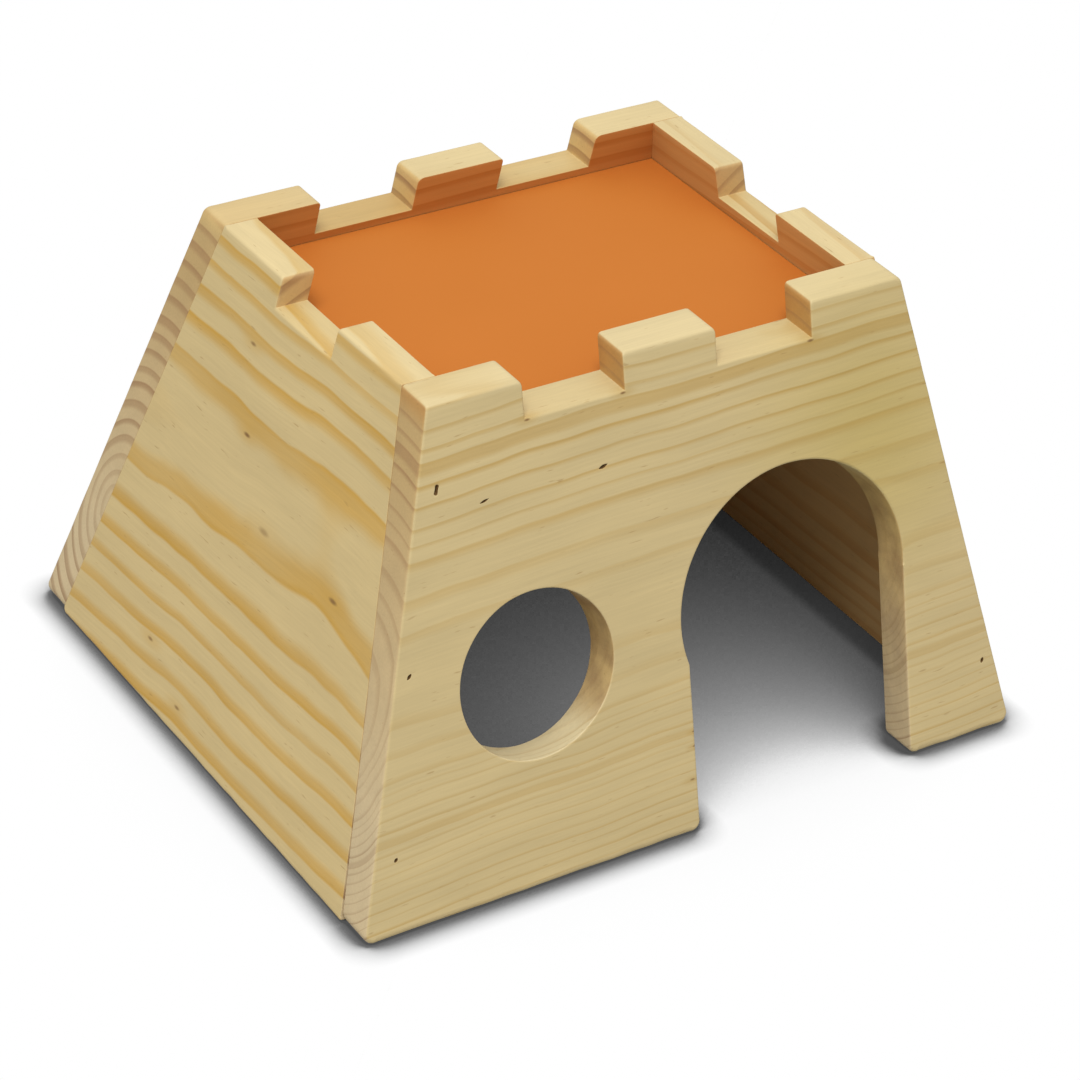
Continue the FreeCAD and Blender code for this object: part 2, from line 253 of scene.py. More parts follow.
def bare_pine(name, board, pith, first_ring, years, sides, oval, tilt, wander, seed, early_wood, late_wood,
              crenel_end_tone_and_shade, faint_below=1.0, painted_bounce_above=0.0, inner_tint_and_bounce_tone="#EEBC8F", deep_spot=None, pin_knots=()):
    """Sanded bare pine. Growth rings are tubes round a pith line (millimetres up the board's face and behind
    it). Each turns from pale early wood to ochre late wood and ends in a slightly darker line. Cut along the
    tubes they show as bands, across them as arcs, so one pattern in the solid serves faces and ends. years
    lists each ring's width, the strength of its late wood and the share of the ring where that starts,
    outwards from first_ring. sides widens the rings below and above the pith, faint_below weakens them below
    it, and oval squeezes the tubes through the board's thickness. crenel_end_tone_and_shade is the end
    grain's tone in the crenels, on the front board darkened as painted shade. wash is how strongly the inner
    face above the roof takes a painted reflection of the orange roof, in inner_tint_and_bounce_tone, which
    the inner faces below the roof take by half. deep_spot is (across, up, radius), and a pin knot is (across,
    up, size, tone), both in millimetres on the board's outer face."""
    material = bpy.data.materials.new(name)
    material.use_nodes = True
    material.node_tree.nodes.clear()
    grain = board["along"] * math.cos(tilt) + board["up"] * math.sin(tilt)
    across = board["up"] * math.cos(tilt) - board["along"] * math.sin(tilt)
    turn = Matrix([grain, board["through"], across])
    heart = board["foot"] + pith[0] * board["up"] + pith[1] * board["through"]
    place = put(material, "ShaderNodeTexCoord")
    wood = put(material, "ShaderNodeMapping", {
        "Vector": place.outputs["Object"], "Location": -(turn @ Vector(heart)),
        "Rotation": turn.to_euler(), "Scale": (1000, 1000, 1000)}).outputs[0]

    # The tree's bends: the pith line wanders by a few millimetres over some 70 mm of length
    stretched = put(material, "ShaderNodeVectorMath", {0: wood, 1: (1 / 70, 1 / 60, 1 / 60)},
                    operation="MULTIPLY").outputs[0]
    bends = put(material, "ShaderNodeTexNoise", {
        "Vector": stretched, "W": seed, "Scale": 1.0, "Detail": 3.0, "Roughness": 0.45},
        noise_dimensions="4D").outputs["Color"]
    bends = put(material, "ShaderNodeVectorMath", {0: bends, 1: (0.5, 0.5, 0.5)},
                operation="SUBTRACT").outputs[0]
    bent = put(material, "ShaderNodeVectorMath", {0: bends, 1: (0, wander, wander), 2: wood},
               operation="MULTIPLY_ADD").outputs[0]

    # Distance from the pith, counted in years of growth
    flat = put(material, "ShaderNodeVectorMath", {0: bent, 1: (0, oval, 1)}, operation="MULTIPLY").outputs[0]
    radius = put(material, "ShaderNodeVectorMath", {0: flat}, operation="LENGTH").outputs["Value"]
    height = put(material, "ShaderNodeSeparateXYZ", {0: flat}).outputs["Z"]
    side = put(material, "ShaderNodeMath", {0: height, 1: radius}, operation="DIVIDE").outputs[0]
    widths, strengths, starts = np.array(years).T
    share = put(material, "ShaderNodeMapRange", {
        "Value": side, "From Min": -0.6, "From Max": 0.6,
        "To Min": 1 / (sides[0] * widths.sum()), "To Max": 1 / (sides[1] * widths.sum())}).outputs[0]
    beyond = put(material, "ShaderNodeMath", {0: radius, 1: first_ring}, operation="SUBTRACT").outputs[0]
    grown = put(material, "ShaderNodeMath", {0: beyond, 1: share}, operation="MULTIPLY").outputs[0]
    age = put(material, "ShaderNodeFloatCurve", {"Value": grown})
    years_past = put(material, "ShaderNodeMath", {0: age.outputs[0], 1: len(years)},
                     operation="MULTIPLY").outputs[0]
    year = put(material, "ShaderNodeMath", {0: years_past}, operation="FLOOR").outputs[0]
    season = put(material, "ShaderNodeMath", {0: years_past}, operation="FRACT").outputs[0]
    middle_of_year = put(material, "ShaderNodeMath", {0: year, 1: 0.5}, operation="ADD").outputs[0]
    middle_of_year = put(material, "ShaderNodeMath", {0: middle_of_year, 1: len(years)},
                         operation="DIVIDE").outputs[0]
    strength = put(material, "ShaderNodeFloatCurve", {"Value": middle_of_year})
    late_start = put(material, "ShaderNodeFloatCurve", {"Value": middle_of_year})
    counts = np.arange(len(years) + 1) / len(years)
    for curve, at, level in ((age, np.append(0, np.cumsum(widths)) / widths.sum(), counts),
                             (strength, counts[:-1] + 0.5 / len(years), strengths),
                             (late_start, counts[:-1] + 0.5 / len(years), starts)):
        points = curve.mapping.curves[0].points
        for x, y in zip(at[1:-1], level[1:-1]):
            points.new(x, y)
        points[0].location = (at[0], level[0])
        points[len(at) - 1].location = (at[-1], level[-1])
        for point in points:
            point.handle_type = "VECTOR"
        curve.mapping.update()

    # Within a year the colour deepens, holds, ends in a line, and falls back over the last tenth of the ring
    late_full = put(material, "ShaderNodeMath", {0: late_start.outputs[0], 1: 0.3},
                    operation="ADD").outputs[0]
    body = put(material, "ShaderNodeMapRange", {
        "Value": season, "From Min": late_start.outputs[0], "From Max": late_full, "To Max": 0.8},
        interpolation_type="SMOOTHSTEP").outputs[0]
    line = put(material, "ShaderNodeMapRange", {
        "Value": season, "From Min": 0.78, "From Max": 0.92, "To Max": 0.2},
        interpolation_type="SMOOTHSTEP").outputs[0]
    fall = put(material, "ShaderNodeMapRange", {
        "Value": season, "From Min": 0.91, "From Max": 1.0, "To Min": 1.0, "To Max": 0.0},
        interpolation_type="SMOOTHSTEP").outputs[0]
    late = put(material, "ShaderNodeMath", {0: body, 1: line}, operation="ADD").outputs[0]
    late = put(material, "ShaderNodeMath", {0: late, 1: fall}, operation="MULTIPLY").outputs[0]
    late = put(material, "ShaderNodeMath", {0: late, 1: strength.outputs[0]}, operation="MULTIPLY").outputs[0]

    # Each ring's late wood comes and goes along the board, and may be fainter below the pith
    lengthwise = put(material, "ShaderNodeVectorMath", {0: wood, 1: (1 / 70, 0, 0)},
                     operation="MULTIPLY").outputs[0]
    its_own = put(material, "ShaderNodeMath", {0: year, 1: 3.7, 2: seed}, operation="MULTIPLY_ADD").outputs[0]
    changes = put(material, "ShaderNodeTexNoise", {
        "Vector": lengthwise, "W": its_own, "Scale": 1.0, "Detail": 1.0},
        noise_dimensions="4D").outputs["Fac"]
    changes = put(material, "ShaderNodeMapRange", {
        "Value": changes, "From Min": 0.3, "From Max": 0.7, "To Min": 0.65, "To Max": 1.15}).outputs[0]
    late = put(material, "ShaderNodeMath", {0: late, 1: changes}, operation="MULTIPLY").outputs[0]
    fainter = put(material, "ShaderNodeMapRange", {
        "Value": side, "From Min": -0.4, "From Max": 0.4, "To Min": faint_below, "To Max": 1.0}).outputs[0]
    late = put(material, "ShaderNodeMath", {0: late, 1: fainter}, operation="MULTIPLY").outputs[0]

    # Faces: long grain on the wide faces, dark arcs on the ends. On the tops the wood is paler and its late
    # wood fainter, partly as sanded wood and partly as a painted highlight of the light from above
    normal = place.outputs["Normal"]
    facing = [put(material, "ShaderNodeVectorMath", {0: normal, 1: tuple(axis)},
                  operation="DOT_PRODUCT").outputs["Value"]
              for axis in (grain, board["through"])]
    at_end = put(material, "ShaderNodeMath", {0: facing[0]}, operation="ABSOLUTE").outputs[0]
    at_end = put(material, "ShaderNodeMapRange", {"Value": at_end, "From Min": 0.5, "From Max": 0.85},
                 interpolation_type="SMOOTHSTEP").outputs[0]
    at_cut = put(material, "ShaderNodeMath", {0: facing[1]}, operation="ABSOLUTE").outputs[0]
    at_cut = put(material, "ShaderNodeMapRange", {
        "Value": at_cut, "From Min": 0.9, "From Max": 0.5}).outputs[0]
    inside = put(material, "ShaderNodeMapRange", {
        "Value": facing[1], "From Min": 0.6, "From Max": 0.9}).outputs[0]
    upright = put(material, "ShaderNodeSeparateXYZ", {0: place.outputs["Object"]}).outputs["Z"]
    high = put(material, "ShaderNodeMapRange", {
        "Value": upright, "From Min": 0.03, "From Max": 0.125}).outputs[0]
    # The tops above 141 mm: partly sanded paleness, partly a painted highlight of the light from above.
    top_paleness_and_highlight = put(material, "ShaderNodeMapRange", {
        "Value": upright, "From Min": 0.1412, "From Max": 0.143, "To Max": 0.3}).outputs[0]
    kept = put(material, "ShaderNodeMapRange", {
        "Value": top_paleness_and_highlight, "From Max": 0.3, "To Min": 1.0, "To Max": 0.5}).outputs[0]
    late = put(material, "ShaderNodeMath", {0: late, 1: kept}, operation="MULTIPLY").outputs[0]

    # The cut faces of the openings and the crenels lie within 77 mm of the middle, the crenels above 130 mm
    sideways = put(material, "ShaderNodeSeparateXYZ", {0: wood}).outputs["X"]
    sideways = put(material, "ShaderNodeMath", {0: sideways}, operation="ABSOLUTE").outputs[0]
    at_cut = put(material, "ShaderNodeMapRange", {
        "Value": sideways, "From Min": 78.0, "From Max": 76.5, "To Max": at_cut}).outputs[0]
    in_crenel = put(material, "ShaderNodeMapRange", {
        "Value": upright, "From Min": 0.129, "From Max": 0.132, "To Max": at_cut}).outputs[0]
    opening = put(material, "ShaderNodeMapRange", {
        "Value": upright, "From Min": 0.129, "From Max": 0.127, "To Max": at_cut}).outputs[0]
    opening = put(material, "ShaderNodeMapRange", {
        "Value": upright, "From Min": 0.001, "From Max": 0.006, "To Max": opening}).outputs[0]
    # The early wood is mixed towards a pale tone on the drilled faces of the openings, and on the tops as
    # sanded wood and painted highlight.
    pale = put(material, "ShaderNodeMath", {0: opening, 1: top_paleness_and_highlight}, operation="MAXIMUM").outputs[0]
    early = put(material, "ShaderNodeMix", {
        "Factor": pale, 6: linear(early_wood), 7: linear("#E6D5A8")}, data_type="RGBA").outputs[2]
    end_early = put(material, "ShaderNodeMix", {
        "Factor": high, 6: linear("#D3BD93"), 7: linear("#C2A36C")}, data_type="RGBA").outputs[2]
    # In the crenels the end grain takes crenel_end_tone_and_shade, which on the front board is darkened as
    # painted shade.
    end_early = put(material, "ShaderNodeMix", {
        "Factor": in_crenel, 6: end_early, 7: linear(crenel_end_tone_and_shade)}, data_type="RGBA").outputs[2]
    end_late = put(material, "ShaderNodeMix", {
        "Factor": high, 6: linear("#966F4A"), 7: linear("#A0774C")}, data_type="RGBA").outputs[2]
    face_colour = put(material, "ShaderNodeMix", {
        "Factor": late, 6: early, 7: linear(late_wood)}, data_type="RGBA").outputs[2]
    end_colour = put(material, "ShaderNodeMix", {
        "Factor": late, 6: end_early, 7: end_late}, data_type="RGBA").outputs[2]

    # End grain that the drill tore is blotched brown. The blotches take a tenth of the colour at 15 mm up and
    # rise to more than half by 55 mm, so the upper part of the openings is browner: that rise is painted
    # shade
    blotches = put(material, "ShaderNodeTexNoise", {
        "Vector": wood, "Scale": 1 / 7, "Detail": 3.0}).outputs["Fac"]
    blotches = put(material, "ShaderNodeMapRange", {
        "Value": blotches, "From Min": 0.34, "From Max": 0.66}).outputs[0]
    torn = put(material, "ShaderNodeMix", {
        "Factor": blotches, 6: linear("#E2BE74"), 7: linear("#A97E42")}, data_type="RGBA").outputs[2]
    torn_and_shaded_share = put(material, "ShaderNodeMapRange", {
        "Value": upright, "From Min": 0.015, "From Max": 0.055, "To Min": 0.1, "To Max": 0.55}).outputs[0]
    torn_and_shaded_share = put(material, "ShaderNodeMath", {0: torn_and_shaded_share, 1: opening}, operation="MULTIPLY").outputs[0]
    end_colour = put(material, "ShaderNodeMix", {
        "Factor": torn_and_shaded_share, 6: end_colour, 7: torn}, data_type="RGBA").outputs[2]
    colour = put(material, "ShaderNodeMix", {
        "Factor": at_end, 6: face_colour, 7: end_colour}, data_type="RGBA").outputs[2]

    # A deeper yellow spot some centimetres wide
    if deep_spot:
        across_spot, up_spot, spot_radius = deep_spot
        spot = across_spot * board["along"] + up_spot * board["up"] + board["foot"]
        away = put(material, "ShaderNodeVectorMath", {
            0: wood, 1: turn @ Vector(spot - heart)}, operation="DISTANCE").outputs["Value"]
        away = put(material, "ShaderNodeMapRange", {
            "Value": away, "From Min": 0.0, "From Max": spot_radius, "To Min": 1.0, "To Max": 0.0},
            interpolation_type="SMOOTHSTEP").outputs[0]
        colour = put(material, "ShaderNodeMix", {
            "Factor": away, 6: colour, 7: linear("#F3F1D2")}, data_type="RGBA",
            blend_type="MULTIPLY").outputs[2]

    # Painted reflection of the orange roof: above the roof the inner faces are multiplied towards
    # inner_tint_and_bounce_tone as far as wash says, and below the roof every inner face takes half of that
    # tone
    above = put(material, "ShaderNodeMapRange", {
        "Value": upright, "From Min": 0.127, "From Max": 0.129, "To Min": 0.5, "To Max": painted_bounce_above}).outputs[0]
    above = put(material, "ShaderNodeMath", {0: above, 1: inside}, operation="MULTIPLY").outputs[0]
    colour = put(material, "ShaderNodeMix", {
        "Factor": above, 6: colour, 7: linear(inner_tint_and_bounce_tone)}, data_type="RGBA", blend_type="MULTIPLY").outputs[2]

    # Fibres a few tenths of a millimetre thick and centimetres long, with short dark resin canals
    fibre_place = put(material, "ShaderNodeVectorMath", {0: bent, 1: (1 / 28, 1 / 0.7, 1 / 0.7)},
                      operation="MULTIPLY").outputs[0]
    fibres = put(material, "ShaderNodeTexNoise", {
        "Vector": fibre_place, "Scale": 1.0, "Detail": 3.0}).outputs["Fac"]
    fibre_tone = put(material, "ShaderNodeMapRange", {
        "Value": fibres, "From Min": 0.3, "From Max": 0.7, "To Min": 0.965, "To Max": 1.035}).outputs[0]
    canal_place = put(material, "ShaderNodeVectorMath", {0: bent, 1: (1 / 6, 1 / 0.8, 1 / 0.8)},
                      operation="MULTIPLY").outputs[0]
    canals = put(material, "ShaderNodeTexNoise", {
        "Vector": canal_place, "Scale": 1.0, "Detail": 1.0}).outputs["Fac"]
    canals = put(material, "ShaderNodeMapRange", {
        "Value": canals, "From Min": 0.72, "From Max": 0.8, "To Max": 0.5}).outputs[0]

    # Paler and darker clouds some 45 mm long and 9 mm wide
    cloud_place = put(material, "ShaderNodeVectorMath", {0: bent, 1: (1 / 45, 1 / 9, 1 / 9)},
                      operation="MULTIPLY").outputs[0]
    clouds = put(material, "ShaderNodeTexNoise", {
        "Vector": cloud_place, "Scale": 1.0, "Detail": 2.0}).outputs["Fac"]
    cloud_tone = put(material, "ShaderNodeMapRange", {
        "Value": clouds, "From Min": 0.3, "From Max": 0.7, "To Min": 0.96, "To Max": 1.04}).outputs[0]
    tone = put(material, "ShaderNodeVectorMath", {0: colour, 3: fibre_tone}, operation="SCALE").outputs[0]
    tone = put(material, "ShaderNodeVectorMath", {0: tone, 3: cloud_tone}, operation="SCALE").outputs[0]
    tone = put(material, "ShaderNodeMix", {
        "Factor": canals, 6: tone, 7: linear("#A57F48")}, data_type="RGBA").outputs[2]

    # Pin knots and torn specks: a small dark eye drawn out along the grain, in a faint golden halo
    for along, up, size, depth_of_tone in pin_knots:
        centre = turn @ Vector(along * board["along"] + up * board["up"] + board["foot"] - heart)
        apart = put(material, "ShaderNodeVectorMath", {0: wood, 1: centre}, operation="SUBTRACT").outputs[0]
        apart = put(material, "ShaderNodeVectorMath", {0: apart, 1: (0.38 / size, 0.38 / size, 1 / size)},
                    operation="MULTIPLY").outputs[0]
        gap = put(material, "ShaderNodeVectorMath", {0: apart}, operation="LENGTH").outputs["Value"]
        for edge, shade, most in ((4.5, late_wood, 0.4), (1.0, "#7E5A2E", 0.9)):
            near = put(material, "ShaderNodeMapRange", {
                "Value": gap, "From Min": edge, "From Max": 0.2, "To Min": 0.0,
                "To Max": most * depth_of_tone}, interpolation_type="SMOOTHSTEP").outputs[0]
            tone = put(material, "ShaderNodeMix", {
                "Factor": near, 6: tone, 7: linear(shade)}, data_type="RGBA").outputs[2]

    bump = put(material, "ShaderNodeBump", {"Height": fibres, "Strength": 0.1, "Distance": 0.0003}).outputs[0]
    shader = put(material, "ShaderNodeBsdfPrincipled", {
        "Base Color": tone, "Roughness": 0.62, "Normal": bump})
    put(material, "ShaderNodeOutputMaterial", {"Surface": shader.outputs[0]})
    return material


def torn_and_shaded_pit_material():
    """Dark brown, rough fibres in the pits, streaked at a third of a millimetre: partly crushed and torn
    fibres, partly painted shade in the hole.
    """
    material = bpy.data.materials.new("torn_and_shaded_pit_fibres")
    material.use_nodes = True
    material.node_tree.nodes.clear()
    place = put(material, "ShaderNodeTexCoord").outputs["Object"]
    streaks = put(material, "ShaderNodeTexNoise", {
        "Vector": place, "Scale": 3000.0, "Detail": 2.0}).outputs["Fac"]
    colour = put(material, "ShaderNodeMix", {
        "Factor": streaks, 6: linear("#4A3316"), 7: linear("#84602F")}, data_type="RGBA").outputs[2]
    shader = put(material, "ShaderNodeBsdfPrincipled", {"Base Color": colour, "Roughness": 0.9})
    put(material, "ShaderNodeOutputMaterial", {"Surface": shader.outputs[0]})
    return material


# The pits' walls below the face are dark brown: partly torn fibres, partly painted shade.
torn_and_shaded_pits = torn_and_shaded_pit_material()
front = board_frame((0, -1, 0), end_wall_lean, house_depth / 2)


def half_width(up):
    """Half of the end walls' width at a distance up their slope."""
    return house_width / 2 - up * math.cos(end_wall_lean) * math.tan(side_wall_lean)


def battlement_outline(merlon_left, merlon_right, crenel_width, crenel_floor, foot):
    """Corners of an end wall from its right foot up, over the battlements and down to its left foot."""
    top = slope_height
    corners = [(half_width(0), 0, 3.3, 0.9), (half_width(top), top, 2.6, 0.9)]
    for right in (merlon_right + crenel_width, merlon_left):
        left = right - crenel_width
        corners += [(right, top, 1.4, 0.7), (right, crenel_floor, 0.15, 0.8),
                    (left, crenel_floor, 0.15, 0.8), (left, top, 2.0, 0.9)]
    return corners + [(-half_width(top), top, 1.5, 0.9), (-half_width(0), 0, 3.3, 2.95)] + foot


arch_from = 2 * math.pi - math.acos((jamb_left - arch_x) / arch_radius) - 0.03
arch_to = -math.acos((jamb_right - arch_x) / arch_radius) + 0.01
door_start, door_end = [arch_up + (arch_radius - (jamb - arch_x) * math.cos(angle)) / math.sin(angle)
                        for jamb, angle in ((jamb_left, arch_from), (jamb_right, arch_to))]
quarter = (arch_to - arch_from) / 4
doorway = [(jamb_left, 0, 3.3, 0.8), (jamb_left, door_start, 3.0, 0.8)]
for i in range(4):
    angle = arch_from + (i + 0.5) * quarter
    corner = arch_radius / math.cos(quarter / 2)
    doorway.append((arch_x + corner * math.cos(angle), arch_up + corner * math.sin(angle), arch_radius, 0.8))
doorway += [(jamb_right, door_end, 0.3, 0.8), (jamb_right, 0, 3.3, 2.95)]
outline = battlement_outline(front_merlon_left, front_merlon_right, front_crenel_width,
                             front_crenel_floor, doorway)
path, normal, edge = rounded_path(outline, point_spacing)

# The door is cut square to the board, and its jambs turn level over their last 10 mm above the floor
in_door = (path[:, 0] > jamb_left - 3) & (path[:, 0] < jamb_right + 3)
in_door &= path[:, 1] < arch_up + arch_radius + 1
level = np.where(in_door, np.clip(1 - path[:, 1] / 10, 0, 1), 1.0)
edge = sanded_unevenly(edge, 160, 3)
front_rim = rim_surface(front, path, normal, edge, edge * inner_edge_share, end_wall_thick, level)

turn = np.linspace(0, 2 * np.pi, 160, endpoint=False)
ring = np.stack([np.cos(turn), np.sin(turn)], 1)
window_path = np.array([window_x, window_up]) + window_radius * ring
window_edge = 0.35 + 0.15 * slow_noise(len(ring), 30, 5)
window_rim = rim_surface(front, window_path, ring, window_edge, window_edge, end_wall_thick,
                         np.zeros(len(ring)))

roof_heads = sorted(brad_heads("roof_front_brads", front, head_reach), key=lambda head: head[0])
pits = [pit_surface(front, a, u, 1.5, width, pit_depth, 0.25, 0.6)
        for (a, u), width in zip(roof_heads, (0.34, 0.5))]
left_heads = sorted(brad_heads("front_left_brads", front, head_reach), key=lambda head: head[1])
pits += [pit_surface(front, a, u, length, 0.5, pit_depth, 0.8, 0.5)
         for (a, u), length in zip(left_heads[:-1], (0.75, 1.0))]
pits.append(pit_surface(front, left_heads[-1][0], left_heads[-1][1], 1.5, 0.5, pit_depth, 1.3, -1.3))
right_heads = sorted(brad_heads("front_right_brads", front, head_reach), key=lambda head: head[1])
pits.append(pit_surface(front, right_heads[0][0], right_heads[0][1], 0.9, 0.55, pit_depth, 1.2, 0.4))
front_wall = closed_mesh("front_board", front, [front_rim, window_rim], pits)
front_years = [(4.0, 0.3, 0.5), (5.0, 0.3, 0.5), (5.3, 0.3, 0.6), (2.7, 0.3, 0.5), (3.8, 0.35, 0.5),
               (4.6, 0.6, 0.6), (2.0, 0.45, 0.6), (2.3, 0.6, 0.6), (2.8, 0.65, 0.65), (2.8, 0.75, 0.6),
               (3.05, 0.7, 0.2), (1.8, 0.5, 0.5), (2.6, 0.5, 0.6), (2.9, 0.7, 0.7), (2.6, 0.9, 0.7),
               (3.1, 0.6, 0.6), (2.8, 1.0, 0.65), (2.5, 0.7, 0.7), (3.2, 1.0, 0.6), (3.0, 0.7, 0.7),
               (2.9, 0.9, 0.65)]
# The front board's crenel sides take a browner, darker end tone as painted shade.
front_wall.data.materials.append(bare_pine(
    "sanded_pine_front", front, pith=(62, 19), first_ring=5.0, years=front_years, sides=(0.95, 1.9), oval=1.4,
    tilt=math.radians(1.2), wander=6.0, seed=3.0, early_wood="#D1BB87", late_wood="#BC9648",
    crenel_end_tone_and_shade="#BC8F50", faint_below=0.6, deep_spot=(66, 104, 62),
    pin_knots=((-47.6, 136.5, 0.5, 1.0), (-16.9, 136.5, 0.5, 1.0), (45.8, 136.4, 0.6, 1.0),
               (-1.2, 27.0, 0.35, 1.0), (-1.2, 31.5, 0.3, 1.0), (-2.6, 17.0, 0.45, 0.8))))
front_wall.data.materials.append(torn_and_shaded_pits)
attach(front_wall, "root")
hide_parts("front_wall")


# Left wall
# A 10 mm pine board with bold rings, sawn to fit between the end walls. Its joint to the front wall has
# opened by a hair towards the floor, and it has one crenel.
side_wall_thick = 10.0
side_slope_height = house_height / math.cos(side_wall_lean)
end_wall_level = end_wall_thick / math.cos(end_wall_lean)
side_crenel_width = 30.3
left = board_frame((-1, 0, 0), side_wall_lean, house_width / 2)


def side_wall_outline(crenel_middle, crenel_depth):
    """Corners of a side wall from its right foot up, over its crenel and down to its left foot."""
    top = side_slope_height
    foot_end = house_depth / 2 - end_wall_level
    top_end = foot_end - house_height * math.tan(end_wall_lean)
    floor = (house_height - crenel_depth) / math.cos(side_wall_lean)
    right = crenel_middle + side_crenel_width / 2
    gap = right - side_crenel_width
    return [(foot_end, 0, 2.1, 0.12), (top_end, top, 0.45, 0.9), (right, top, 1.4, 0.8),
            (right, floor, 0.15, 0.8), (gap, floor, 0.15, 0.8), (gap, top, 1.4, 0.9),
            (-top_end, top, 0.45, 0.12), (-foot_end, 0, 2.1, 1.8)]


def side_wall(name, board, crenel_middle, crenel_depth, opening, seed):
    """Side wall mesh. opening is how far its right end, which leans by about 1 in 4, has drawn back from the
    end wall at the floor; the gap narrows to nothing 75 mm up, as the square of the height left."""
    path, normal, edge = rounded_path(side_wall_outline(crenel_middle, crenel_depth), point_spacing)
    edge = sanded_unevenly(edge, 120, seed)
    at_end = path[:, 0] > house_depth / 2 - end_wall_level - 0.6 - path[:, 1] * 0.25
    drawn = np.where(at_end, opening * np.clip(1 - path[:, 1] / 75, 0, 1) ** 2, 0)
    path = path - np.stack([drawn, 0 * drawn], 1)
    rim = rim_surface(board, path, normal, edge, edge * inner_edge_share, side_wall_thick,
                      np.ones(len(edge)))
    return closed_mesh(name, board, [rim], [])


left_wall = side_wall("left_board", left, 0.0, 9.0, 0.9, 11)
left_years = [(7.0, 0.1, 0.5), (5.0, 1.0, 0.3), (7.0, 0.85, 0.5), (6.3, 0.95, 0.45), (6.3, 0.8, 0.5),
              (7.2, 1.0, 0.45), (8.0, 0.8, 0.5), (8.0, 0.95, 0.45), (7.5, 0.9, 0.5), (7.0, 1.0, 0.45)]
left_wall.data.materials.append(bare_pine(
    "sanded_pine_left", left, pith=(88, 48), first_ring=41.3, years=left_years, sides=(1.02, 0.88), oval=1.0,
    tilt=math.radians(3.0), wander=9.0, seed=1.0, early_wood="#D4BC85", late_wood="#CA9D3F",
    crenel_end_tone_and_shade="#CBA76E",
    pin_knots=((-21.2, 123.8, 0.8, 0.8), (-13.6, 99.1, 0.9, 1.0), (5.4, 78.5, 1.4, 0.5),
               (44.0, 78.5, 1.1, 0.9), (-35.9, 19.5, 0.8, 0.8), (-14.6, 8.7, 0.8, 0.8))))
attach(left_wall, "root")
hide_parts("left_wall")

# Right wall
# The same kind of board on the other side, nailed through both end walls. Its inner face shows through
# the door, and above the roof it carries a painted reflection of the orange roof.
right = board_frame((1, 0, 0), side_wall_lean, house_width / 2)
right_wall = side_wall("right_board", right, 0.8, 10.3, 0.2, 17)
right_years = [(7.0, 0.6, 0.4), (6.0, 0.5, 0.5), (6.5, 0.7, 0.4), (5.5, 0.6, 0.5), (6.0, 0.8, 0.4),
               (5.0, 0.5, 0.5), (6.0, 0.7, 0.4), (6.0, 0.6, 0.5), (5.0, 0.7, 0.4), (6.0, 0.6, 0.5)]
right_wall.data.materials.append(bare_pine(
    "sanded_pine_right", right, pith=(66, -34), first_ring=36.0, years=right_years, sides=(1.0, 0.9),
    oval=1.0, tilt=math.radians(-2.0), wander=6.0, seed=8.0, early_wood="#D4BC85", late_wood="#C49A54",
    crenel_end_tone_and_shade="#CBA76E", painted_bounce_above=0.65, inner_tint_and_bounce_tone="#EEBC7B"))
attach(right_wall, "root")
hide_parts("right_wall")

# Back wall
# A 12 mm pine board like the front one, with battlements and no openings. The side walls and the roof
# board are nailed through it, and the wood is torn over each brad.
back = board_frame((0, 1, 0), end_wall_lean, house_depth / 2)
back_middle, back_merlon, back_crenel, back_crenel_depth = -0.3, 29.2, 32.4, 11.6
path, normal, edge = rounded_path(battlement_outline(
    back_middle - back_merlon / 2, back_middle + back_merlon / 2, back_crenel,
    (house_height - back_crenel_depth) / math.cos(end_wall_lean), []), point_spacing)
edge = sanded_unevenly(edge, 120, 23)
back_rim = rim_surface(back, path, normal, edge, edge * inner_edge_share, end_wall_thick,
                       np.ones(len(edge)))
pits = [pit_surface(back, a, u, 1.3, 0.6, pit_depth, 0.1, 0.6)
        for node in ("back_left_brads", "back_right_brads", "roof_back_brads")
        for a, u in brad_heads(node, back, head_reach)]
back_wall = closed_mesh("back_board", back, [back_rim], pits)
back_years = [(6.0, 0.3, 0.5), (5.0, 0.4, 0.4), (5.5, 0.5, 0.5), (6.0, 0.6, 0.4), (5.0, 0.7, 0.5),
              (6.5, 0.6, 0.4), (6.0, 0.8, 0.5), (5.0, 0.7, 0.4), (6.0, 0.8, 0.5), (5.5, 0.7, 0.4),
              (6.0, 0.9, 0.3), (7.0, 0.8, 0.5), (6.0, 0.8, 0.4), (6.0, 0.7, 0.5), (7.0, 0.8, 0.4),
              (6.0, 0.8, 0.5), (7.0, 0.8, 0.4), (7.0, 0.8, 0.5), (7.0, 0.8, 0.4), (7.0, 0.8, 0.5)]
# Above the roof the back board's inner face takes the full painted reflection of the orange roof.
back_wall.data.materials.append(bare_pine(
    "sanded_pine_back", back, pith=(50, 14), first_ring=2.0, years=back_years, sides=(1.0, 1.0), oval=1.6,
    tilt=math.radians(-1.0), wander=5.0, seed=5.0, early_wood="#D4BC85", late_wood="#BF9650",
    crenel_end_tone_and_shade="#D7B777", painted_bounce_above=1.0))
back_wall.data.materials.append(torn_and_shaded_pits)
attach(back_wall, "root")
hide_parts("back_wall")

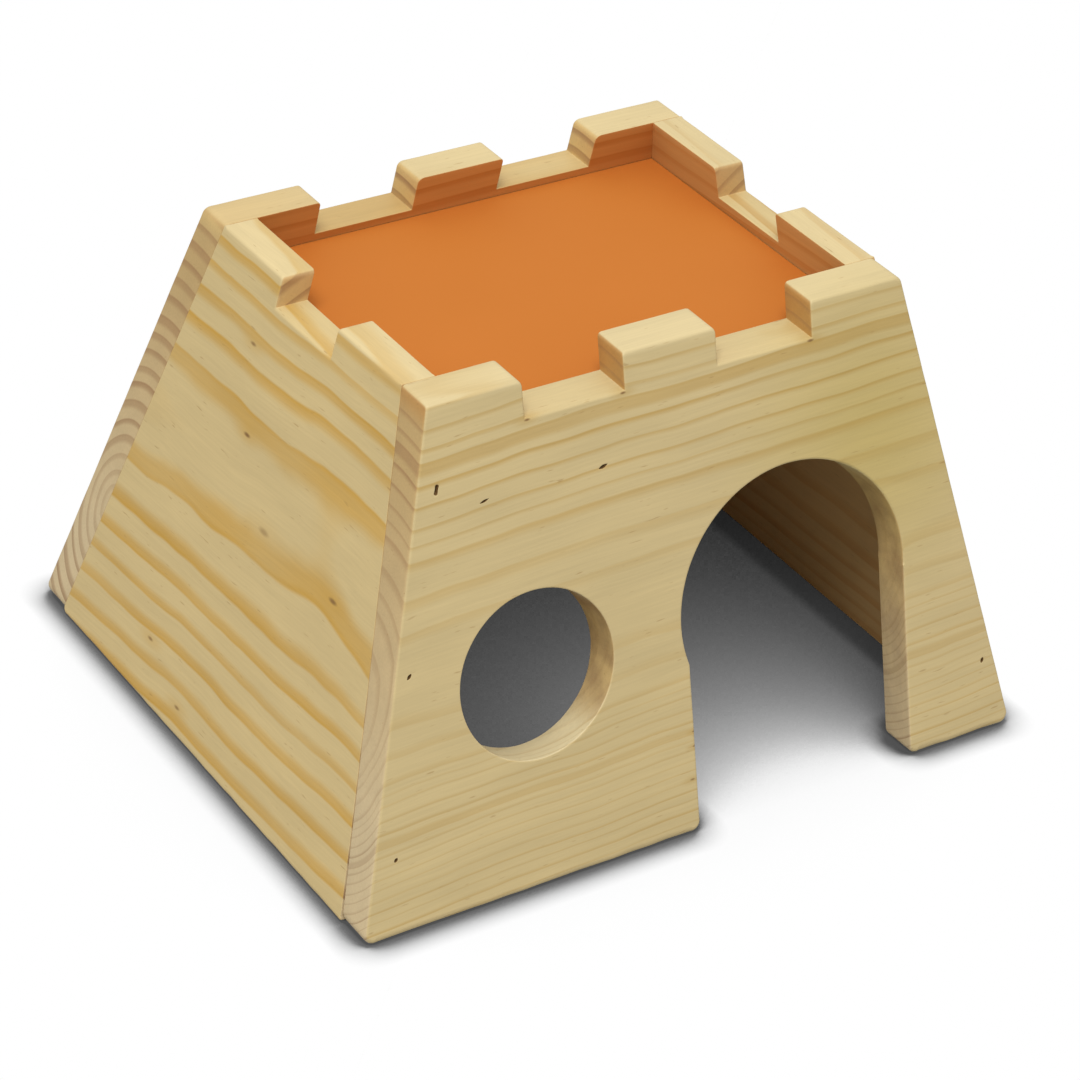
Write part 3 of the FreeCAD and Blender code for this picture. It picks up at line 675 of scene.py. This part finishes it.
# Roof board
# A board bevelled on four edges, let in between the walls below the crenels and held by brads. It is
# painted with flat orange water-based paint.
def flat_paint():
    """Water-based paint on sanded wood: matt, nearly even, with the faint nap of a foam roller."""
    material = bpy.data.materials.new("matt_orange_paint")
    material.use_nodes = True
    material.node_tree.nodes.clear()
    place = put(material, "ShaderNodeTexCoord").outputs["Object"]
    millimetres = put(material, "ShaderNodeMapping", {
        "Vector": place, "Scale": (1000, 1000, 1000)}).outputs[0]
    thickness = put(material, "ShaderNodeTexNoise", {
        "Vector": millimetres, "Scale": 1 / 45, "Detail": 3.0}).outputs["Fac"]
    nap = put(material, "ShaderNodeTexNoise", {
        "Vector": millimetres, "Scale": 1 / 0.8, "Detail": 2.0}).outputs["Fac"]
    colour = put(material, "ShaderNodeMix", {
        "Factor": thickness, 6: linear("#C5742B"), 7: linear("#CA782F")}, data_type="RGBA").outputs[2]
    bump = put(material, "ShaderNodeBump", {"Height": nap, "Strength": 0.08, "Distance": 0.0002}).outputs[0]
    shader = put(material, "ShaderNodeBsdfPrincipled", {
        "Base Color": colour, "Roughness": 0.8, "Specular IOR Level": 0.2, "Normal": bump})
    put(material, "ShaderNodeOutputMaterial", {"Surface": shader.outputs[0]})
    return material


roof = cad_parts["roof_board"]
roof.data.materials.clear()
roof.data.materials.append(flat_paint())

# Brads
# Flat brads of bare steel wire, cut to a point and driven square to the boards. Their heads are sunk a
# millimetre below the wood.
def bare_wire():
    """Bare drawn steel wire gone dull and slightly brown, with uneven tarnish."""
    material = bpy.data.materials.new("bare_steel_wire")
    material.use_nodes = True
    material.node_tree.nodes.clear()
    place = put(material, "ShaderNodeTexCoord").outputs["Object"]
    tarnish = put(material, "ShaderNodeTexNoise", {
        "Vector": place, "Scale": 1500.0, "Detail": 2.0}).outputs["Fac"]
    colour = put(material, "ShaderNodeMix", {
        "Factor": tarnish, 6: linear("#554E46"), 7: linear("#7B756D")}, data_type="RGBA").outputs[2]
    rough = put(material, "ShaderNodeMapRange", {"Value": tarnish, "To Min": 0.4, "To Max": 0.6}).outputs[0]
    shader = put(material, "ShaderNodeBsdfPrincipled", {
        "Base Color": colour, "Metallic": 1.0, "Roughness": rough})
    put(material, "ShaderNodeOutputMaterial", {"Surface": shader.outputs[0]})
    return material


wire = bare_wire()
for name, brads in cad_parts.items():
    if name.endswith("brads"):
        brads.data.materials.clear()
        brads.data.materials.append(wire)

# Floor
# A white studio table that runs far past the picture. To the camera it is plain white, darker only where
# the house keeps the light off it; the light that falls back from it is that of grey card.
floor_mesh = bpy.data.meshes.new("studio_floor")
reach = 6.0
floor_mesh.from_pydata([(-reach, -reach, 0), (reach, -reach, 0), (reach, reach, 0), (-reach, reach, 0)], [],
                       [(0, 1, 2, 3)])
floor = bpy.data.objects.new("studio_floor", floor_mesh)
bpy.context.scene.collection.objects.link(floor)


def white_table():
    """White card: matt, plain, and darker only where the house keeps the light off it."""
    material = bpy.data.materials.new("matt_white_card")
    material.use_nodes = True
    material.node_tree.nodes.clear()
    room_reach, contact_reach = 0.3, 0.0095
    room_steps = [(0.0, 0.0), (0.25, 0.25), (0.4, 0.5), (0.5, 0.85), (0.65, 1.0)]
    contact_steps = [(0.7, 0.15), (0.8, 0.55), (1.0, 1.0)]
    light = []
    for distance, stops in ((room_reach, room_steps), (contact_reach, contact_steps)):
        open_share = put(material, "ShaderNodeAmbientOcclusion", {
            "Distance": distance}, samples=16).outputs["AO"]
        ramp = put(material, "ShaderNodeValToRGB", {"Fac": open_share})
        elements = ramp.color_ramp.elements
        elements[0].position = stops[0][0]
        elements[0].color = (stops[0][1],) * 3 + (1,)
        elements[1].position = stops[-1][0]
        elements[1].color = (stops[-1][1],) * 3 + (1,)
        for at, level in stops[1:-1]:
            elements.new(at).color = (level, level, level, 1)
        light.append(ramp.outputs["Color"])

    # Where the room's light is already low, as inside the house, the contact shade fades out
    least = put(material, "ShaderNodeMapRange", {
        "Value": light[0], "From Max": 0.6, "To Min": 0.6, "To Max": 0.0}).outputs[0]
    near = put(material, "ShaderNodeMath", {0: light[1], 1: least}, operation="MAXIMUM").outputs[0]
    seen = put(material, "ShaderNodeMath", {0: light[0], 1: near}, operation="MULTIPLY").outputs[0]
    glow = put(material, "ShaderNodeEmission", {"Color": seen, "Strength": 1.0})
    card = put(material, "ShaderNodeBsdfDiffuse", {"Color": linear("#AAAAAA")})
    ray = put(material, "ShaderNodeLightPath").outputs["Is Camera Ray"]
    both = put(material, "ShaderNodeMixShader", {0: ray, 1: card.outputs[0], 2: glow.outputs[0]})
    put(material, "ShaderNodeOutputMaterial", {"Surface": both.outputs[0]})
    return material


floor_mesh.materials.append(white_table())

# Light
# An even white dome lights every side, and a large soft box hangs two metres above the table, to the
# left of the front. To the camera the dome is plain white.
world = bpy.data.worlds.new("white_dome")
bpy.context.scene.world = world
world.use_nodes = True
world.node_tree.nodes.clear()
dome = put(world, "ShaderNodeBackground", {"Color": (1, 1, 1, 1), "Strength": 0.7})
behind = put(world, "ShaderNodeBackground", {"Color": (1, 1, 1, 1), "Strength": 1.0})
ray = put(world, "ShaderNodeLightPath").outputs["Is Camera Ray"]
sky = put(world, "ShaderNodeMixShader", {0: ray, 1: dome.outputs[0], 2: behind.outputs[0]})
put(world, "ShaderNodeOutputWorld", {"Surface": sky.outputs[0]})

box_light = bpy.data.lights.new("soft_box", "AREA")
box_light.shape = "SQUARE"
box_light.size = 0.9
box_light.energy = 26.0
box = bpy.data.objects.new("soft_box", box_light)
box.location = (-0.75, -0.75, 2.0)
lit_middle = Vector((0, 0, 0.05))
box.rotation_euler = (lit_middle - box.location).to_track_quat("-Z", "Y").to_euler()
bpy.context.scene.collection.objects.link(box)

# Camera
# The photograph's viewpoint: a long lens, from above and to the left of the front, rolled by 4 degrees.
# Its place, in metres, was found by fitting the corners of the house.
azimuth, elevation, roll = math.radians(-34.870), math.radians(33.242), math.radians(4.183)
camera_place = (-0.5228, -0.7557, 0.6447)
backwards = Vector((math.sin(azimuth) * math.cos(elevation), -math.cos(azimuth) * math.cos(elevation),
                    math.sin(elevation)))
sideways = Vector((math.cos(azimuth), math.sin(azimuth), 0))
upwards = backwards.cross(sideways)
lens = bpy.data.cameras.new("camera")
lens.sensor_width = 36.0
lens.lens = 123.33
lens.clip_end = 50.0
camera = bpy.data.objects.new("camera", lens)
turned = Matrix([sideways * math.cos(roll) + upwards * math.sin(roll),
                 upwards * math.cos(roll) - sideways * math.sin(roll), backwards]).transposed()
camera.matrix_world = Matrix.Translation(camera_place) @ turned.to_4x4()
bpy.context.scene.collection.objects.link(camera)
bpy.context.scene.camera = camera

bpy.context.scene.view_settings.view_transform = "Standard"
